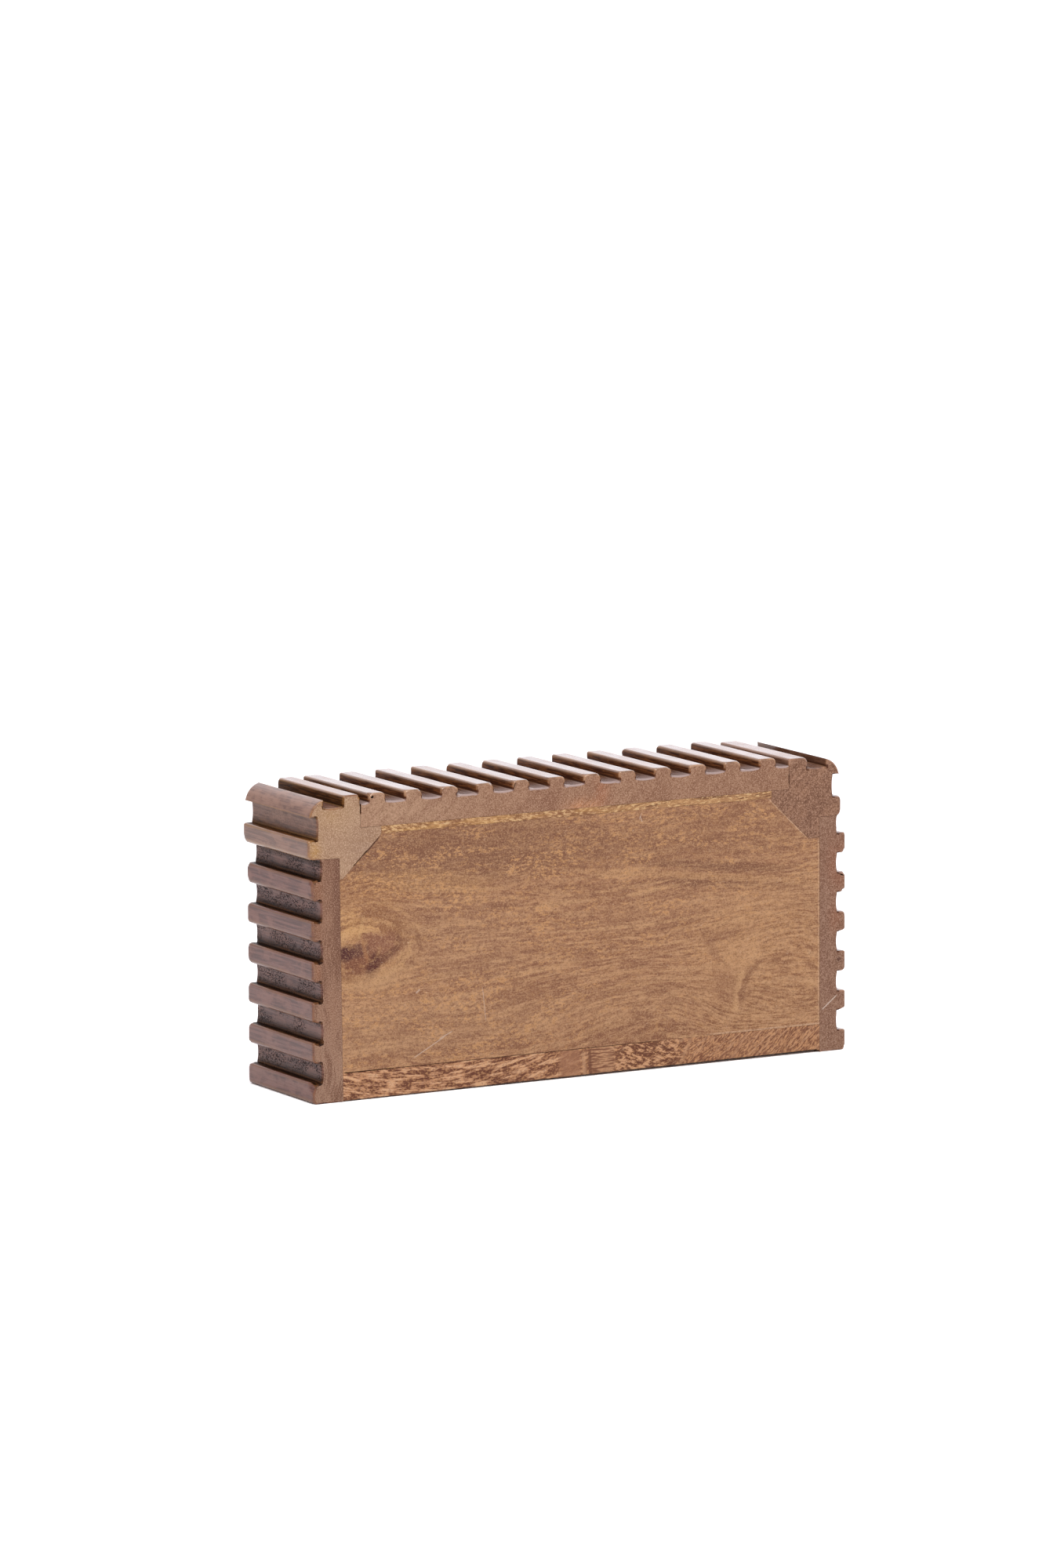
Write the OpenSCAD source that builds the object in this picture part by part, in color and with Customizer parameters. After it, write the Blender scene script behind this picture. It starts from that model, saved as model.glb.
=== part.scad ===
// A sealed hardwood box shaped as a small ribbed washboard block.
// Ribbed boards close both ends and the top, two corner blocks carry the ribs
// round the corners, and plain flush panels close the front and the back.
// X runs along the box, Y from front to back, Z up. All sizes are in millimetres.
// The origin is under the middle of the box, on the surface that it stands on.

/* [Box] */
// Width over the ribs of the two side boards
board_span = 225; // [223:0.5:230]
// Depth from the front face to the back face
depth = 51; // [44:1:70]
// Height from the base to the top of the top board's ribs
total_h = 112.6; // [111:0.2:116]
// Height of the joint between the left side board and its corner block
joint_z = 89.8; // [88:0.2:91]

/* [Side boards] */
// Distance from one rib to the next
side_pitch = 14.9; // [14:0.1:15]
// Height of one rib
side_rib_h = 7.6; // [6:0.1:8]
// Thickness of the left board at its foot
left_board_t = 12.3; // [11:0.1:13]
// How much thinner the left board is at its joint
left_board_taper = 0.9; // [0:0.1:1]
// Thickness of the right board
right_board_t = 11.2; // [10:0.1:12]

/* [Top board] */
// Thickness over the ribs
top_board_t = 12.3; // [11:0.1:12.4]
// Distance from one rib to the next
top_pitch = 14.93; // [12:0.01:14.95]
// Width of one rib
top_rib_w = 7.3; // [6:0.1:8]
// Number of ribs between the corner blocks
top_ribs = 12; // [8:1:12]
// Width of the part groove between the left joint and the first rib
top_first_gap = 3.3; // [2:0.1:4]

/* [Corner blocks] */
// Width over the side ribs of both blocks
block_span = 224.4; // [223:0.1:226]
// How far the blocks and the top board sit off centre, to the left
top_shift = 1.65; // [0:0.05:2]
// How much lower the right block sits than the left one
right_drop = 0.9; // [0:0.1:1]
// Width of the left block, from its side rib to its joint with the top board
left_block_w = 21.5; // [20:0.1:23]
// Width of the right block
right_block_w = 22.5; // [20:0.1:23]
// Radius of the rounded rib on the corner
corner_r = 7.3; // [7:0.1:7.6]

/* [Grooves] */
// Depth of the grooves of the side boards and of the blocks' sides
side_groove = 3.4; // [2.5:0.1:4]
// Depth of the top board's grooves
top_groove = 3.2; // [2.5:0.1:4]
// Depth of the groove in the top of each corner block
block_groove = 4; // [3:0.1:4.5]
// How much deeper a groove is along its middle
groove_hollow = 0.35; // [0.1:0.05:0.5]
// Radius of the upper edge of a side rib and of the left edge of a top rib
small_r = 0.8; // [0.3:0.1:1]
// Radius of the lower edge of a side rib and of the right edge of a top rib
large_r = 1.7; // [0.8:0.1:2]

/* [Panels] */
// Thickness of the front and back panels
panel_t = 9; // [6:0.5:10]
// Thickness of the bottom board
bottom_t = 10.6; // [9:0.1:12]
// Height of the pale strip along the top edge of each panel
strip_h = 2.7; // [1.5:0.1:2.8]
// Side of the square cleats glued behind the panels
cleat = 8; // [5:0.5:9]

/* [Hidden] */
$fn = 96;

side_ribs = 6;
// How much higher than a whole pitch each side rib starts
rib_rise = 0.2;
// How far a cut reaches past the surface that it opens
past = 1;
// Flat left along each side of a groove's hollow floor
groove_shoulder = 0.4;

// Across a corner block, from its outermost rib towards its joint
round_rib_w = 6.3;
top_rib_x = 14.3;
corner_x = 8;
ledge_foot_x = 14;
ledge_tip_x = 30;
// Down a corner block, from its top
round_rib_drop = 0.9;
round_rib_h = 7.2;
side_rib_depth = 15.5;
shoulder_depth = 15.2;
foot_depth = 30.5;

left_board_x = -board_span / 2;
right_board_x = board_span / 2;
left_block_x = -block_span / 2 - top_shift;
right_block_x = block_span / 2 - top_shift;
// The middle of the whole box, which lies over the origin
mid_x = (min(left_board_x, left_block_x) + max(right_board_x, right_block_x)) / 2;

left_joint_x = left_block_x + left_block_w;
right_joint_x = right_block_x - right_block_w;
left_tip_x = left_block_x + ledge_tip_x;
right_tip_x = right_block_x - ledge_tip_x;
left_foot_x = left_block_x + ledge_foot_x;
right_foot_x = right_block_x - ledge_foot_x;
right_inner_x = right_board_x - right_board_t;

right_top_z = total_h - right_drop;
right_joint_z = joint_z - right_drop;
top_under_z = total_h - top_board_t;
strip_z = top_under_z - strip_h;
left_foot_z = total_h - foot_depth;
right_foot_z = right_top_z - foot_depth;
left_shoulder_z = total_h - shoulder_depth;
right_shoulder_z = right_top_z - shoulder_depth;

front_y = -depth / 2;
back_y = depth / 2;

// Inner face of the left board, which leans outwards a little towards its joint
function left_inner(z) = left_board_x + left_board_t - left_board_taper * z / joint_z;

// What comes off a corner at the origin, of a solid towards +X and +Y, to round it
module rounding(r) {
    difference() {
        square(r);
        translate([r, r]) circle(r);
    }
}

// One groove, open towards +Y, from X = 0 to w, with a hollow floor.
// The two radii round the ribs on its left and on its right.
module groove(w, d, left_r, right_r) {
    half_w = w / 2 - groove_shoulder;
    floor_r = (half_w * half_w + groove_hollow * groove_hollow) / (2 * groove_hollow);
    translate([0, -d]) square([w, d + past]);
    intersection() {
        translate([w / 2, floor_r - d - groove_hollow]) circle(floor_r, $fn = 360);
        translate([0, -d - past]) square([w, past]);
    }
    if (left_r > 0) rotate(180) rounding(left_r);
    if (right_r > 0) translate([w, 0]) rotate(-90) rounding(right_r);
}

// A profile drawn in X and Z, stood upright between two depths
module upright(y0, y1) {
    translate([-mid_x, y1, 0]) rotate([90, 0, 0]) linear_extrude(y1 - y0) children();
}

// What is cut from a side board whose outer plane is X = 0 and faces -X
module side_board_cuts(joint) {
    rounding(large_r);
    for (i = [1 : side_ribs]) {
        last = i == side_ribs;
        low = (i - 1) * side_pitch + rib_rise + side_rib_h;
        high = last ? joint + past : i * side_pitch + rib_rise;
        translate([0, low]) rotate(90)
            groove(high - low, side_groove, small_r, last ? 0 : large_r);
    }
}

// A corner block with its side rib's face at X = 0, facing -X, and its top at top.
// outer_r and joint_r round the top rib's edges away from the joint and at it.
module corner_block_profile(w, top, joint, inner_at_joint, inner_at_foot, outer_r, joint_r) {
    foot = top - foot_depth;
    lip = top - round_rib_h;
    rib_top = top - side_rib_depth;
    difference() {
        polygon([
            [0, joint], [inner_at_joint, joint], [inner_at_foot, foot],
            [ledge_foot_x, foot], [ledge_tip_x, top - shoulder_depth],
            [ledge_tip_x, top_under_z], [w, top_under_z], [w, top], [0, top]
        ]);
        translate([0, joint]) rounding(large_r);
        translate([0, rib_top]) rotate(90) groove(lip - rib_top, side_groove, small_r, 0);
        difference() {
            translate([-past, lip]) square([round_rib_w + past, round_rib_h + past]);
            translate([corner_x, top - round_rib_drop - corner_r]) circle(corner_r);
        }
        translate([round_rib_w, top])
            groove(top_rib_x - round_rib_w, block_groove, 0, outer_r);
        translate([w, top]) rotate(180) rounding(joint_r);
    }
}

// The part of a panel under its pale strip, fitted to the ledges of both blocks
module panel_profile() {
    polygon([
        [left_inner(bottom_t), bottom_t], [right_inner_x, bottom_t],
        [right_inner_x, right_foot_z], [right_foot_x, right_foot_z],
        [right_tip_x, right_shoulder_z], [right_tip_x, strip_z],
        [left_tip_x, strip_z], [left_tip_x, left_shoulder_z],
        [left_foot_x, left_foot_z], [left_inner(left_foot_z), left_foot_z]
    ]);
}

module strip_profile() {
    translate([left_tip_x, strip_z]) square([right_tip_x - left_tip_x, strip_h]);
}

module top_cleat_profile() {
    translate([left_tip_x, top_under_z - cleat]) square([right_tip_x - left_tip_x, cleat]);
}

module bottom_cleat_profile() {
    top = bottom_t + cleat;
    polygon([
        [left_inner(bottom_t), bottom_t], [right_inner_x, bottom_t],
        [right_inner_x, top], [left_inner(top), top]
    ]);
}

module left_cleat_profile() {
    low = bottom_t + cleat;
    polygon([
        [left_inner(low), low], [left_inner(low) + cleat, low],
        [left_inner(low) + cleat, left_foot_z], [left_inner(left_foot_z), left_foot_z]
    ]);
}

module right_cleat_profile() {
    low = bottom_t + cleat;
    translate([right_inner_x - cleat, low]) square([cleat, right_foot_z - low]);
}

module left_side_board() {
    color("#8f6f5c") upright(front_y, back_y) difference() {
        polygon([
            [left_board_x, 0], [left_inner(0), 0],
            [left_inner(joint_z), joint_z], [left_board_x, joint_z]
        ]);
        translate([left_board_x, 0]) side_board_cuts(joint_z);
    }
}

module right_side_board() {
    color("#876653") upright(front_y, back_y) difference() {
        translate([right_inner_x, 0]) square([right_board_t, right_joint_z]);
        translate([right_board_x, 0]) mirror([1, 0]) side_board_cuts(right_joint_z);
    }
}

module top_board() {
    first_x = left_joint_x + top_first_gap;
    last_x = first_x + (top_ribs - 1) * top_pitch + top_rib_w;
    gap = top_pitch - top_rib_w;
    color("#a27c62") upright(front_y, back_y) difference() {
        translate([left_joint_x, top_under_z])
            square([right_joint_x - left_joint_x, top_board_t]);
        translate([left_joint_x - past, total_h])
            groove(top_first_gap + past, top_groove, 0, small_r);
        for (i = [0 : top_ribs - 2])
            translate([first_x + i * top_pitch + top_rib_w, total_h])
                groove(gap, top_groove, large_r, small_r);
        translate([last_x, total_h])
            groove(right_joint_x - last_x + past, top_groove, large_r, 0);
    }
}

module bottom_board() {
    color("#b98a62") upright(front_y, back_y) polygon([
        [left_inner(0), 0], [right_inner_x, 0],
        [right_inner_x, bottom_t], [left_inner(bottom_t), bottom_t]
    ]);
}

module left_corner_block() {
    color("#b79673") upright(front_y, back_y) translate([left_block_x, 0])
        corner_block_profile(
            left_block_w, total_h, joint_z,
            left_inner(joint_z) - left_block_x, left_inner(left_foot_z) - left_block_x,
            small_r, large_r
        );
}

module right_corner_block() {
    inner = right_block_x - right_inner_x;
    color("#8b6853") upright(front_y, back_y) translate([right_block_x, 0]) mirror([1, 0])
        corner_block_profile(
            right_block_w, right_top_z, right_joint_z, inner, inner, large_r, small_r
        );
}

module front_panel() {
    color("#a97e5a") upright(front_y, front_y + panel_t) panel_profile();
}

module front_edge_strip() {
    color("#cfa570") upright(front_y, front_y + panel_t) strip_profile();
}

module back_panel() {
    color("#a97e5a") upright(back_y - panel_t, back_y) panel_profile();
}

module back_edge_strip() {
    color("#cfa570") upright(back_y - panel_t, back_y) strip_profile();
}

// A cleat behind the front panel
module front_cleat() {
    inner_y = front_y + panel_t;
    color("#c9a67c") upright(inner_y, inner_y + cleat) children();
}

// A cleat in front of the back panel
module back_cleat() {
    inner_y = back_y - panel_t;
    color("#c9a67c") upright(inner_y - cleat, inner_y) children();
}

module front_top_cleat() { front_cleat() top_cleat_profile(); }
module front_bottom_cleat() { front_cleat() bottom_cleat_profile(); }
module front_left_cleat() { front_cleat() left_cleat_profile(); }
module front_right_cleat() { front_cleat() right_cleat_profile(); }
module back_top_cleat() { back_cleat() top_cleat_profile(); }
module back_bottom_cleat() { back_cleat() bottom_cleat_profile(); }
module back_left_cleat() { back_cleat() left_cleat_profile(); }
module back_right_cleat() { back_cleat() right_cleat_profile(); }

left_side_board();
right_side_board();
top_board();
bottom_board();
left_corner_block();
right_corner_block();
front_panel();
front_edge_strip();
back_panel();
back_edge_strip();
front_top_cleat();
front_bottom_cleat();
front_left_cleat();
front_right_cleat();
back_top_cleat();
back_bottom_cleat();
back_left_cleat();
back_right_cleat();
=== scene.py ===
import math

import bmesh
import bpy
import numpy as np
from mathutils import Matrix, Vector, noise


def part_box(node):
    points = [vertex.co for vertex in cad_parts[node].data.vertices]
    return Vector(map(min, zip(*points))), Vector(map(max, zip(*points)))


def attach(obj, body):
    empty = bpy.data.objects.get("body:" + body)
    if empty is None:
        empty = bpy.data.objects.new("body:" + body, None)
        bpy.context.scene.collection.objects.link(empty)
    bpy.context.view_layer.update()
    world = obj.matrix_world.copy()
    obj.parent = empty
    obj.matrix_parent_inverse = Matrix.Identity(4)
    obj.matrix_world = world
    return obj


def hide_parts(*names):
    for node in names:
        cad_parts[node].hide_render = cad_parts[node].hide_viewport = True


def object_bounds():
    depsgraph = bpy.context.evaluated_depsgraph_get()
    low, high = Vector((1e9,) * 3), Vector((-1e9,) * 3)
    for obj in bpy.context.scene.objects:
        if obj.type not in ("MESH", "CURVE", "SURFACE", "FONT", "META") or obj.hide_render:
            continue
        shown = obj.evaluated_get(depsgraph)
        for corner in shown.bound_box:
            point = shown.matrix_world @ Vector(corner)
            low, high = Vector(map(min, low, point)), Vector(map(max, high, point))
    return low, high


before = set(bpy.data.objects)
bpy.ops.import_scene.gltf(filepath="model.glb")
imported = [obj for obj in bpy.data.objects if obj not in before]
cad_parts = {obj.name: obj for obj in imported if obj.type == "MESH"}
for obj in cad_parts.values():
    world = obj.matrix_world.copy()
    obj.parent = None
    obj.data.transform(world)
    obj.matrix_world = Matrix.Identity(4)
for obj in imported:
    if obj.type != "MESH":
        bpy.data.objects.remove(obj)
CAD_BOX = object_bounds()

MM = 0.001
FRONT_Y = CAD_BOX[0].y
BACK_Y = CAD_BOX[1].y

# ---------------------------------------------------------------- camera, floor, light

CAMERA_PLACE = (-1.67473, -2.99916, 0.62656)
CAMERA_YAW = 29.031
CAMERA_TILT = 8.618
CAMERA_ROLL = 0.256
LENS = 216.0
FLOOR_SIZE = 6.0
# The tent of light: its level all round, and its level where it is brightest
TENT_LEVEL = 1.05
TENT_GLOW = 1.75
BRIGHT_SIDE = (0.47, 0.86, 0.20)
GLOW_EDGES = (0.55, 0.95)


def make_camera():
    """The main view: a long lens, far off the left front corner, a little above the block."""
    data = bpy.data.cameras.new("camera")
    data.lens = LENS
    data.sensor_width = 36.0
    data.clip_start = 0.1
    data.clip_end = 50.0
    camera = bpy.data.objects.new("camera", data)
    bpy.context.scene.collection.objects.link(camera)
    turn = Matrix.Rotation(math.radians(-CAMERA_YAW), 4, "Z")
    tilt = Matrix.Rotation(math.radians(90.0 - CAMERA_TILT), 4, "X")
    roll = Matrix.Rotation(math.radians(-CAMERA_ROLL), 4, "Z")
    camera.matrix_world = Matrix.Translation(CAMERA_PLACE) @ turn @ tilt @ roll
    bpy.context.scene.camera = camera


def area_light(name, place, aim, size, power, tint):
    data = bpy.data.lights.new(name, "AREA")
    data.shape = "RECTANGLE"
    data.size, data.size_y = size
    data.energy = power
    data.color = tint
    lamp = bpy.data.objects.new(name, data)
    lamp.location = place
    lamp.rotation_mode = "QUATERNION"
    lamp.rotation_quaternion = (Vector(aim) - Vector(place)).to_track_quat("-Z", "Y")
    bpy.context.scene.collection.objects.link(lamp)


def make_world():
    """A white studio tent: even all round, brightest low down behind the block."""
    world = bpy.data.worlds.new("tent")
    bpy.context.scene.world = world
    world.use_nodes = True
    tree = world.node_tree
    background = tree.nodes["Background"]
    background.inputs["Color"].default_value = (1.0, 0.962, 1.0, 1.0)
    spot = tree.nodes.new("ShaderNodeTexCoord").outputs["Generated"]
    toward = tree.nodes.new("ShaderNodeVectorMath")
    toward.operation = "DOT_PRODUCT"
    toward.inputs[1].default_value = BRIGHT_SIDE
    tree.links.new(spot, toward.inputs[0])
    glow = tree.nodes.new("ShaderNodeMapRange")
    glow.interpolation_type = "SMOOTHSTEP"
    for socket, value in zip(glow.inputs[1:5], (*GLOW_EDGES, TENT_LEVEL, TENT_GLOW)):
        socket.default_value = value
    tree.links.new(toward.outputs["Value"], glow.inputs[0])
    tree.links.new(glow.outputs[0], background.inputs["Strength"])


def make_floor():
    half = FLOOR_SIZE / 2
    mesh = bpy.data.meshes.new("floor")
    corners = [(-half, -half, 0), (half, -half, 0), (half, half, 0), (-half, half, 0)]
    mesh.from_pydata(corners, [], [(0, 1, 2, 3)])
    floor = bpy.data.objects.new("floor", mesh)
    bpy.context.scene.collection.objects.link(floor)
    paint = bpy.data.materials.new("floor_white")
    paint.use_nodes = True
    shader = paint.node_tree.nodes["Principled BSDF"]
    shader.inputs["Base Color"].default_value = (0.95, 0.95, 0.95, 1.0)
    shader.inputs["Roughness"].default_value = 1.0
    shader.inputs["Specular IOR Level"].default_value = 0.0
    floor.data.materials.append(paint)


make_camera()
make_world()
make_floor()
area_light("front_soft", (-0.6, -1.3, 1.6), (0.0, 0.0, 0.0), (1.4, 1.0), 22.0, (1.0, 0.985, 0.96))
area_light("table_soft", (-0.1, -0.7, 1.3), (-0.05, -0.35, 0.0), (1.0, 0.8), 12.0, (1.0, 1.0, 1.0))
bpy.context.scene.view_settings.view_transform = "Standard"

# ---------------------------------------------------------------- outlines and swept solids

SAME_PLACE = 1e-6
# How sharply an outline turns at the bottom of a groove, on a rounded edge and at a true corner (degrees)
INNER_TURN = -25.0
OUTER_TURN = 8.0
SHARP_TURN = 60.0
# Outlines nearer to each other than this touch
TOUCH_GAP = 0.12 * MM
# How far along the outline an open joint spreads
SLIT_REACH = 0.3 * MM
# How far the painted reflection, pale on the floors near a groove's mouth, reaches in along Y
MOUTH_REACH = 13 * MM
# How fast the waviness of a face changes, round the outline and along Y (per metre)
WAVE_AROUND = 160
WAVE_ALONG = 70


def cad_outline(node, back=False):
    """The closed outline (x, z), in metres, of a CAD node's front or back face."""
    low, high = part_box(node)
    y = high.y if back else low.y
    bm = bmesh.new()
    bm.from_mesh(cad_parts[node].data)
    bmesh.ops.remove_doubles(bm, verts=bm.verts, dist=SAME_PLACE)
    flat = {f for f in bm.faces if all(abs(v.co.y - y) < SAME_PLACE for v in f.verts)}
    edges = [e for e in bm.edges if sum(f in flat for f in e.link_faces) == 1]
    near = {}
    for e in edges:
        a, b = e.verts
        near.setdefault(a.index, []).append(b)
        near.setdefault(b.index, []).append(a)
    start = edges[0].verts[0]
    loop, last, here = [start], None, start
    while True:
        ahead = [v for v in near[here.index] if v is not last]
        last, here = here, ahead[0]
        if here is start or len(loop) > len(edges):
            break
        loop.append(here)
    points = np.array([(v.co.x, v.co.z) for v in loop])
    bm.free()
    if signed_area(points) < 0:
        points = points[::-1]
    return points


def signed_area(points):
    x, z = points[:, 0], points[:, 1]
    return 0.5 * float(np.sum(x * np.roll(z, -1) - z * np.roll(x, -1)))


def fine(points, step):
    """The same outline with its long sides cut into steps."""
    out = []
    for a, b in zip(points, np.roll(points, -1, axis=0)):
        count = max(1, int(math.ceil(float(np.linalg.norm(b - a)) / step)))
        for k in range(count):
            out.append(a + (b - a) * k / count)
    return np.array(out)


def outward(points):
    """Unit normals of the outline, pointing out of the wood."""
    ahead = np.roll(points, -1, axis=0) - points
    ahead /= np.linalg.norm(ahead, axis=1)[:, None]
    along = ahead + np.roll(ahead, 1, axis=0)
    along /= np.maximum(np.linalg.norm(along, axis=1), 1e-9)[:, None]
    return np.stack([along[:, 1], -along[:, 0]], axis=1)


def turning(points):
    """How sharply the outline turns at each point, in degrees: above 0 at an outer corner."""
    ahead = np.roll(points, -1, axis=0) - points
    behind = np.roll(ahead, 1, axis=0)
    cross = behind[:, 0] * ahead[:, 1] - behind[:, 1] * ahead[:, 0]
    dot = np.sum(behind * ahead, axis=1)
    return np.degrees(np.arctan2(cross, dot))


def near_corners(points, inner, reach):
    """1 at an inner (or outer) corner of the outline, falling to 0 within reach."""
    turn = turning(points)
    chosen = points[turn < INNER_TURN] if inner else points[turn > OUTER_TURN]
    if len(chosen) == 0:
        return np.zeros(len(points))
    gap = np.linalg.norm(points[:, None, :] - chosen[None, :, :], axis=2).min(axis=1)
    return np.clip(1.0 - gap / reach, 0.0, 1.0)


def from_sharp(points):
    """How far each point is from the nearest sharp outer corner of the outline."""
    sharp = points[turning(points) > SHARP_TURN]
    return np.linalg.norm(points[:, None, :] - sharp[None, :, :], axis=2).min(axis=1)


def distance_to_line(points, a, b):
    a, b = np.array(a, float), np.array(b, float)
    d = b - a
    t = np.clip(((points - a) @ d) / max(float(d @ d), 1e-18), 0, 1)
    return np.linalg.norm(points - (a + t[:, None] * d), axis=1)


def touching(points, others):
    """1 where the outline lies against another board, 0 where it is open."""
    gap = np.full(len(points), 1.0)
    for loop in others:
        for a, b in zip(loop, np.roll(loop, -1, axis=0)):
            gap = np.minimum(gap, distance_to_line(points, a, b))
    flag = (gap < TOUCH_GAP).astype(float)
    for _ in range(2):
        flag = (np.roll(flag, 1) + 2 * flag + np.roll(flag, -1)) / 4
    return flag


def stations(low, high, step, ease):
    """Places along Y: close together at the eased ends, then every step. Each has its share of the ease."""
    bend = [0.0, 0.12, 0.35, 0.65, 1.0]
    rows = [(low + ease * t, 1.0 - math.sqrt(1.0 - (1.0 - t) ** 2)) for t in bend]
    count = max(1, int(round((high - low - 2 * ease) / step)))
    for k in range(1, count):
        rows.append((low + ease + (high - low - 2 * ease) * k / count, 0.0))
    rows += [(high - ease * t, 1.0 - math.sqrt(1.0 - (1.0 - t) ** 2)) for t in reversed(bend)]
    return rows


def sweep(name, points, span, materials, ease=0.6 * MM, joint_ease=0.05 * MM, wave=0.04 * MM,
          neighbours=(), step=1.0 * MM, chips=(), slits=(), floor_depth=None, shade=None, lift=None):
    """A board swept along Y from its end outline, with eased ends, wavy faces, chips and open joints.

    Its attributes tell the material where the wood is worn or hollow, and where it paints shade and
    reflection: crease (painted shade) and corner (wear) along the outline, rim at the two ends, floor in the
    grooves, lip (a painted pale reflection) at their mouths, and shade (painted shade) on ledges and walls.
    """
    normal = outward(points)
    touch = touching(points, neighbours)
    free = 1 - touch
    eased = np.minimum(ease * free + joint_ease * touch, 0.1 * MM + 0.5 * from_sharp(points))
    # crease marks the inner corners, where the material paints shade; corner the outer ones, where it paints
    # wear
    crease = near_corners(points, True, 1.3 * MM) * free
    corner = near_corners(points, False, 0.9 * MM) * free
    rows = stations(span[0], span[1], step, ease)
    count = len(points)
    verts, rims = [], []
    for y, share in rows:
        push = -eased * share
        if wave:
            for i in range(count):
                if free[i] > 0.5:
                    spot = Vector((points[i, 0] * WAVE_AROUND, y * WAVE_ALONG, points[i, 1] * WAVE_AROUND))
                    push[i] += wave * noise.noise(spot)
        for x, z, end, reach, depth in chips:
            gap = np.sqrt((points[:, 0] - x) ** 2 + (points[:, 1] - z) ** 2 + (y - end) ** 2)
            push -= depth * np.clip(1 - gap / reach, 0, 1) ** 0.7
        for a, b, half_width, depth in slits:
            if y - span[0] < depth:
                near = distance_to_line(points, a, b) < SLIT_REACH
                push -= half_width * near * min(1.0, 1.6 * (1 - (y - span[0]) / depth))
        if lift is not None:
            push -= lift(points)
        moved = points + normal * push[:, None]
        verts.append(np.column_stack([moved[:, 0], np.full(count, y), moved[:, 1]]))
        end_gap = min(y - span[0], span[1] - y)
        rims.append(np.full(count, max(0.0, 1.0 - end_gap / (1.6 * ease))) * free)
    verts = np.concatenate(verts)
    faces = []
    for j in range(len(rows) - 1):
        for i in range(count):
            k = (i + 1) % count
            faces.append((j * count + i, j * count + k, (j + 1) * count + k, (j + 1) * count + i))
    sides = len(faces)
    last = (len(rows) - 1) * count
    faces.append(tuple(range(count))[::-1])
    faces.append(tuple(range(last, last + count)))
    mesh = bpy.data.meshes.new(name)
    mesh.from_pydata(verts.tolist(), [], faces)
    for m in materials:
        mesh.materials.append(m)
    end_slot = len(materials) - 1
    for k, polygon in enumerate(mesh.polygons):
        polygon.material_index = end_slot if k >= sides else 0
        polygon.use_smooth = k < sides
    spread = {
        "crease": np.tile(crease, len(rows)),
        "corner": np.tile(corner, len(rows)),
        "rim": np.concatenate(rims),
    }
    if floor_depth is not None:
        floor = floor_depth(points) * free
        mouth = [np.clip(1 - min(y - span[0], span[1] - y) / MOUTH_REACH, 0, 1) for y, _ in rows]
        spread["floor"] = np.tile(floor, len(rows))
        # A painted reflection: the upward floors near each end of a groove are marked for a pale tint
        level = floor * np.clip(normal[:, 1] * 2 - 1, 0, 1)
        spread["lip"] = np.concatenate([level * m for m in mouth])
        spread["shade"] = np.tile(free * shade(points, normal), len(rows))
    for key, values in spread.items():
        layer = mesh.attributes.new(key, "FLOAT", "POINT")
        layer.data.foreach_set("value", values.astype(np.float32))
    piece = bpy.data.objects.new(name, mesh)
    bpy.context.scene.collection.objects.link(piece)
    crisp(mesh, 40.0)
    return piece


def crisp(mesh, degrees):
    """Marks edges sharper than this, so that smooth shading stops at them."""
    bm = bmesh.new()
    bm.from_mesh(mesh)
    bmesh.ops.recalc_face_normals(bm, faces=bm.faces)
    limit = math.radians(degrees)
    for e in bm.edges:
        e.smooth = e.calc_face_angle(0.0) < limit
    bm.to_mesh(mesh)
    bm.free()


def random_chips(points, neighbours, count, seed):
    """Small breaks along the front and back edges of the ribs, at their corners."""
    draw = np.random.RandomState(seed)
    is_open = touching(points, neighbours) < 0.1
    open_corners = np.where(is_open & (np.abs(turning(points)) > OUTER_TURN))[0]
    chips = []
    for _ in range(count):
        x, z = points[draw.choice(open_corners)]
        end = (FRONT_Y, BACK_Y)[draw.randint(2)]
        chips.append((x, z, end, draw.uniform(0.7, 1.7) * MM, draw.uniform(0.15, 0.5) * MM))
    return chips


# ---------------------------------------------------------------- material building

# What is left of a colour once the strong light is allowed for
LIGHT_GAIN = 0.455


def colour(value):
    """A colour given as the eye sees it, 0 to 255, made linear, and less by what the strong light adds."""
    if isinstance(value, bpy.types.NodeSocket):
        return value
    linear = []
    for v in value:
        v = v / 255.0
        linear.append((v / 12.92 if v <= 0.04045 else ((v + 0.055) / 1.055) ** 2.4) * LIGHT_GAIN)
    return (*linear, 1.0)


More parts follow.
